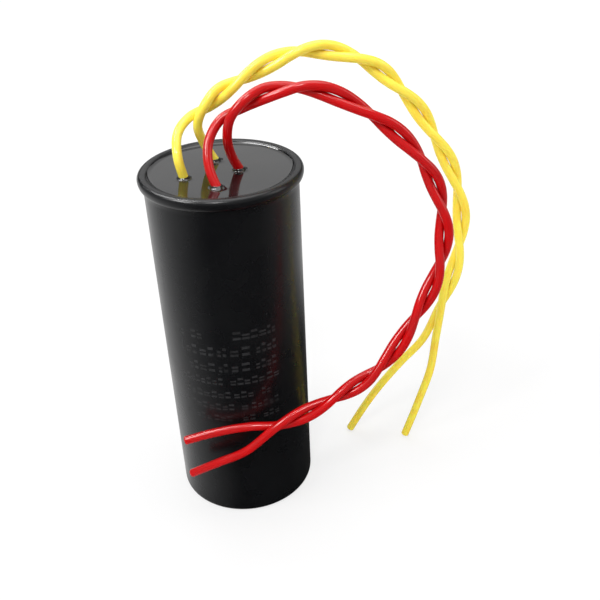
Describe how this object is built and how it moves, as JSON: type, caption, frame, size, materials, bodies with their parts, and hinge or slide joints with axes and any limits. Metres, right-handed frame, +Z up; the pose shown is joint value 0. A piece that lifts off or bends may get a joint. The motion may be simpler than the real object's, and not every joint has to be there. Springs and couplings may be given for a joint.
{
  "type": "dual motor run capacitor",
  "caption": "Round black potted plastic case with a flared lip, film windings inside, and twisted red and yellow insulated leads arching from its sealed end; for running a small AC motor.",
  "frame": {"origin": "centre of the foot ring, on the surface the case stands on", "axes": "+Z up along the case axis, out through the open potted end; +X to the side the leads arch over to; +Y to the back, with the red leads' ends at the front (-Y)"},
  "size_m": [0.0906, 0.0485, 0.1303],
  "materials": {
    "case_plastic": "black moulded plastic, satin gloss",
    "potting_epoxy": "black cast epoxy, mirror gloss on its free surface",
    "metallised_film": "wound metallised plastic film, silvery",
    "core_plastic": "off-white extruded plastic",
    "sprayed_zinc": "sprayed metal, matt and grainy",
    "solder": "bright solder",
    "copper": "bare copper wire",
    "insulating_board": "pressed insulating board",
    "red_insulation": "red PVC wire insulation, semi-gloss",
    "yellow_insulation": "yellow PVC wire insulation, semi-gloss"
  },
  "bodies": {
    "root": {"case_cup": "case_plastic", "potting_compound": "potting_epoxy", "winding_12uf": "metallised_film", "core_tube_12uf": "core_plastic", "end_spray_12uf_bottom": "sprayed_zinc", "end_spray_12uf_top": "sprayed_zinc", "winding_5uf": "metallised_film", "core_tube_5uf": "core_plastic", "end_spray_5uf_bottom": "sprayed_zinc", "end_spray_5uf_top": "sprayed_zinc", "spacer_disc": "insulating_board", "solder_red_a": "solder", "solder_red_b": "solder", "solder_yellow_a": "solder", "solder_yellow_b": "solder", "conductor_red_a": "copper", "conductor_red_b": "copper", "conductor_yellow_a": "copper", "conductor_yellow_b": "copper", "lead_red_a": "red_insulation", "lead_red_b": "red_insulation", "lead_yellow_a": "yellow_insulation", "lead_yellow_b": "yellow_insulation"}
  },
  "joints": []
}
